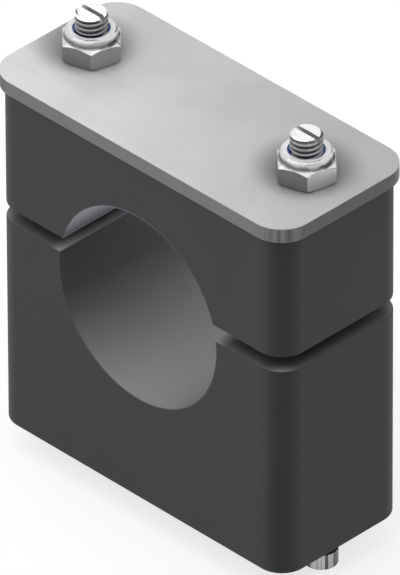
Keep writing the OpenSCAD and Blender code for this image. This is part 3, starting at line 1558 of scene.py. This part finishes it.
@dataclass
class LockNut:
    """A hexagon nut with a rolled collar, and the nylon ring in it.

    The cone above and below the flats is given by its angle with the level, in degrees.
    """

    side: Side
    steel: NutSteel
    nylon: Nylon = Nylon()
    flats: float = 10.0 * MM
    hex_height: float = 3.9 * MM
    cone: float = 30.0
    foot_radius: float = 4.7 * MM
    foot_drop: float = 0.17 * MM
    countersink: float = 0.35 * MM
    thread_radius: float = 3.05 * MM
    seat_radius: float = 4.02 * MM
    lip_radius: float = 3.3 * MM
    lip_round: float = 0.03 * MM
    lip_height: float = 0.5 * MM
    collar_radius: float = 4.62 * MM
    collar_round: float = 0.6 * MM
    collar_steps: int = 10
    steps: int = 144
    edge: float = 0.10 * MM
    edge_angle: float = 24.0
    edge_steps: int = 2
    ring_radius: float = 2.95 * MM
    ring_rim: float = 0.14 * MM
    ring_rim_steps: int = 6
    ring_swell: float = 0.16 * MM
    ring_steps: int = 96

    @property
    def slope(self) -> float:
        """Fall of the cone above the flats, for each unit of reach."""
        return math.tan(math.radians(self.cone))

    @property
    def collar_foot(self) -> float:
        """Height where the collar leaves the cone, above the nut's foot."""
        return self.hex_height + (self.flats / 2 - self.collar_radius) * self.slope

    def build(self, effects: Effects) -> None:
        """Models nut and ring and puts them on their body.

        Args:
            effects: The shared node groups.
        """
        node = self.side.node("lock_nut")
        ring_node = self.side.node("nylon_ring")
        box, ring_box = Box.of(node), Box.of(ring_node)
        foot = Vector((ring_box.centre.x, ring_box.centre.y, box.low.z))
        body = f"nut_{self.side.value}"
        nut = new_object(f"{node}_steel", self._nut(foot, box, ring_box))
        name = self.side.node("nut_steel")
        steel = self.steel.material(name, effects, self, foot, box.size.z)
        fit_out(nut, steel, node, body)
        ring = new_object(f"{ring_node}_blue", self._ring(foot, ring_box))
        nylon = self.nylon.material(self.side.node("blue_nylon"), effects)
        fit_out(ring, nylon, ring_node, body)

    def _corner_angle(self, foot: Vector) -> float:
        """Finds how far the CAD nut is turned, from its outermost point.

        Args:
            foot: Middle of the nut's foot.

        Returns:
            Angle of one corner about the axis, in radians.
        """
        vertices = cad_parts[self.side.node("lock_nut")].data.vertices
        points = [v.co - foot for v in vertices]
        corner = max(points, key=lambda p: p.x * p.x + p.y * p.y)
        return math.atan2(corner.y, corner.x)

    def _outline(self, box: Box, ring_box: Box) -> list[Point2]:
        """Gives the outline of the nut's turned blank, as wide as its corners.

        Args:
            box: Box of the nut's node.
            ring_box: Box of the nylon ring's node.

        Returns:
            Radius and height of each corner.
        """
        foot, top = box.low.z, box.high.z
        wide = self.flats / 2 / math.cos(SIXTH_TURN / 2)
        # Planing moves the two wide corners, so their heights only tell top from foot
        low, high = foot + self.hex_height / 4, foot + self.hex_height * 3 / 4
        roll = self.collar_radius - self.collar_round
        return [
            (self.thread_radius, foot + self.countersink),
            (self.thread_radius + self.countersink, foot),
            (self.foot_radius, foot),
            (wide, low),
            (wide, high),
            (self.collar_radius, foot + self.collar_foot),
            *arc((roll, top - self.collar_round), self.collar_round, 0, 90, self.collar_steps),
            (self.lip_radius + self.lip_round, top),
            (self.lip_radius, top - self.lip_round),
            (self.lip_radius, top - self.lip_height),
            (self.seat_radius, top - self.lip_height),
            (self.seat_radius, ring_box.low.z),
            (self.thread_radius, ring_box.low.z),
        ]

    def _nut(self, foot: Vector, box: Box, ring_box: Box) -> BMesh:
        """Turns the nut's blank, planes its six flats and breaks its outer edges.

        Args:
            foot: Middle of the nut's foot.
            box: Box of the nut's node.
            ring_box: Box of the nylon ring's node.

        Returns:
            A bmesh that holds the nut.
        """
        corner = self._corner_angle(foot)
        bm = turned(self._outline(box, ring_box), foot, self.steps)
        bmesh.ops.rotate(bm, verts=bm.verts, cent=foot, matrix=Matrix.Rotation(corner, 3, "Z"))
        bmesh.ops.remove_doubles(bm, verts=bm.verts, dist=WELD)
        self._plane(bm, foot, corner)
        outer = [e for e in sharp_edges(bm, self.edge_angle) if self._is_outer(e, foot)]
        soften(bm, outer, self.edge, self.edge_steps)
        return bm

    def _plane(self, bm: BMesh, foot: Vector, corner: float) -> None:
        """Moves the wide corners of the blank onto the six flats, where the cones meet them.

        Args:
            bm: The turned blank.
            foot: Middle of the nut's foot.
            corner: Angle of one corner of the hexagon about the axis, in radians.
        """
        half = self.flats / 2
        middle = foot.z + self.hex_height / 2
        for v in bm.verts:
            flat = (v.co - foot).to_2d()
            if flat.length < half:
                continue
            turn = (math.atan2(flat.y, flat.x) - corner) % SIXTH_TURN - SIXTH_TURN / 2
            reach = half / math.cos(turn)
            drop = (reach - half) * self.slope
            flat *= reach / flat.length
            low, high = foot.z + self.foot_drop + drop, foot.z + self.hex_height - drop
            v.co = (foot.x + flat.x, foot.y + flat.y, high if v.co.z > middle else low)

    def _is_outer(self, edge: BMEdge, foot: Vector) -> bool:
        """Tells whether an edge lies outside the collar."""
        least = self.collar_radius + self.lip_round
        return all((v.co - foot).to_2d().length > least for v in edge.verts)

    def _ring(self, foot: Vector, box: Box) -> BMesh:
        """Turns the nylon ring, tight on the thread and swollen a little inside the lip.

        Args:
            foot: Middle of the nut's foot.
            box: Box of the ring's node.

        Returns:
            A bmesh that holds the ring.
        """
        outer = box.size.x / 2
        rim, inner = self.ring_rim, self.ring_radius + self.ring_rim
        low, high = box.low.z, box.high.z + self.ring_swell
        outline = [
            (outer, low),
            (outer, box.high.z),
            (self.lip_radius - self.lip_round, box.high.z),
            (self.lip_radius - 2 * self.lip_round, high),
            *arc((inner, high - rim), rim, 90, 180, self.ring_rim_steps),
            *arc((inner, low + rim), rim, 180, 270, self.ring_rim_steps),
        ]
        return turned(outline, foot, self.ring_steps)


@dataclass(frozen=True)
class Lamp:
    """A square soft lamp that faces the clamp from an angle, as a camera would."""

    name: str
    azimuth: float
    elevation: float
    distance: float
    size: float
    power: float
    colour: Colour = (1.0, 1.0, 1.0)
    mirrored: bool = False

    def hang(self) -> None:
        """Adds the lamp to the scene."""
        data = bpy.data.lights.new(self.name, "AREA")
        data.size = self.size
        data.energy = self.power
        data.color = self.colour
        lamp = bpy.data.objects.new(self.name, data)
        bpy.context.scene.collection.objects.link(lamp)
        back = direction(self.azimuth, self.elevation)
        lamp.rotation_mode = "QUATERNION"
        lamp.rotation_quaternion = back.to_track_quat("Z", "Y")
        lamp.location = back * self.distance
        lamp.visible_glossy = self.mirrored


@dataclass(frozen=True)
class Flag:
    """A round grey screen, far off, that metal sees in place of the white room.

    The spread is half the angle of its full and of its faded part, in degrees, and dim
    is how bright it looks beside the room.
    """

    azimuth: float
    elevation: float
    spread: Point2
    dim: float

    def mask(self, w: Wiring, way: NodeSocket) -> NodeSocket:
        """Masks the directions in which the flag stands."""
        return w.near_way(way, direction(self.azimuth, self.elevation), self.spread)


@dataclass
class Studio:
    """Floor, light and camera round the clamp."""

    lens: float = 1150.0
    azimuth: float = 45.2
    elevation: float = 35.14
    roll: float = -0.225
    pixels_per_mm: float = 5.81
    frame_height: int = 575
    clip_start: float = 0.1
    aim: Vector = Vector((0.19 * MM, 0.0, -3.12 * MM))
    floor_colour: Colour = (0.45, 0.45, 0.45)
    floor_roughness: float = 0.9
    floor_reach: float = 8.0
    floor_white: float = 0.68
    white: Colour = (1.0, 1.0, 1.0)
    ambient: float = 0.45
    dim_side: float = 0.65
    dim_band: Point2 = (0.25, 0.75)
    flags: tuple[Flag, ...] = (
        Flag(194.0, 17.0, (10.0, 17.0), 0.25),
        Flag(-10.0, 60.0, (25.0, 40.0), 0.30),
    )
    lamps: tuple[Lamp, ...] = (
        Lamp("left", -32.0, 18.0, 0.9, 0.6, 2.7),
        Lamp("right", 150.0, 20.0, 0.9, 0.6, 3.25, colour=(0.76, 0.78, 1.0)),
        Lamp("overhead", -10.0, 60.0, 0.26, 0.34, 0.32, mirrored=True),
    )

    def build(self) -> None:
        """Makes the camera, the lamps, the world and the floor."""
        self._camera()
        for lamp in self.lamps:
            lamp.hang()
        self._world()
        self._floor()

    def _camera(self) -> None:
        """Makes a far camera with a long lens, at the photograph's angle."""
        data = bpy.data.cameras.new("camera")
        data.lens = self.lens
        camera = bpy.data.objects.new("camera", data)
        bpy.context.scene.collection.objects.link(camera)
        back = direction(self.azimuth, self.elevation)
        distance = self.lens * self.frame_height / data.sensor_width / self.pixels_per_mm * MM
        roll = Euler((0, 0, math.radians(self.roll))).to_quaternion()
        camera.rotation_mode = "QUATERNION"
        camera.rotation_quaternion = back.to_track_quat("Z", "Y") @ roll
        camera.location = self.aim + back * distance
        data.clip_start = self.clip_start
        data.clip_end = 2 * distance
        bpy.context.scene.camera = camera

    def _world(self) -> None:
        """Fills the room with soft light, and shows white behind the clamp.

        The camera, metal and glass see white. On the side of the room where the
        photograph was taken, metal sees a dimmer wall, and it sees the flags.
        """
        world = bpy.data.worlds.new("room")
        world.use_nodes = True
        world.node_tree.nodes.clear()
        w = Wiring(world.node_tree)
        way = w.add("TexCoord").outputs["Generated"]
        mirrored = w.add("LightPath").outputs["Is Glossy Ray"]
        front = w.measure("DOT_PRODUCT", way, direction(self.azimuth))
        dark_parts = [(w.ramp(front, *self.dim_band), self.dim_side)]
        dark_parts += [(flag.mask(w, way), flag.dim) for flag in self.flags]
        shown = 1.0
        for mask, dim in dark_parts:
            shown = w.times(shown, w.factor(w.times(mask, mirrored), dim))
        strength = w.mix(w.viewing_rays(), self.ambient, shown)
        light = w.add("Background", {"Color": rgba(self.white), "Strength": strength})
        w.feed(w.add("OutputWorld").inputs["Surface"], light.outputs[0])
        bpy.context.scene.world = world

    def _floor(self) -> None:
        """Lays a plain pale floor under the hammer heads, white to camera and metal."""
        bm = bmesh.new()
        bmesh.ops.create_grid(bm, x_segments=1, y_segments=1, size=self.floor_reach)
        bmesh.ops.translate(bm, verts=bm.verts, vec=(0, 0, Box.of("stud_left").low.z))
        floor = new_object("floor", bm)
        paint = Paint("pale_floor")
        w = paint.wiring
        paint.set(
            base_color=rgba(self.floor_colour), roughness=self.floor_roughness,
            specular_ior_level=0.0,
        )
        strength = w.times(w.viewing_rays(), self.floor_white)
        glow = w.add("Emission", {"Strength": strength})
        lit = w.add("AddShader", {0: paint.shader.outputs[0], 1: glow.outputs[0]})
        w.feed(paint.output.inputs["Surface"], lit.outputs[0])
        floor.data.materials.append(paint.material)


def main() -> None:
    """Builds the clamp and its studio."""
    logging.basicConfig(level=logging.INFO, format="%(name)s: %(message)s")
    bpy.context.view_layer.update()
    bpy.context.scene.view_settings.view_transform = "Standard"
    effects = Effects()
    Studio().build()
    assemblies = (
        Halves(),
        CoverPlate(),
        HammerStud(Side.LEFT, StudSteel(), thread_start=-0.20),
        # The nuts' flat tones are painted light, and differ from side to side.
        LockNut(Side.LEFT, NutSteel(flat_light_tones=(0.51, 0.75))),
        # The two studs' ends differ in colour only as painted light and shade.
        HammerStud(Side.RIGHT, StudSteel(bright=(0.90, 0.90, 0.91)), thread_start=0.19),
        LockNut(Side.RIGHT, NutSteel(flat_light_tones=(0.54, 1.32))),
    )
    for assembly in assemblies:
        assembly.build(effects)


if __name__ == "__main__":
    main()
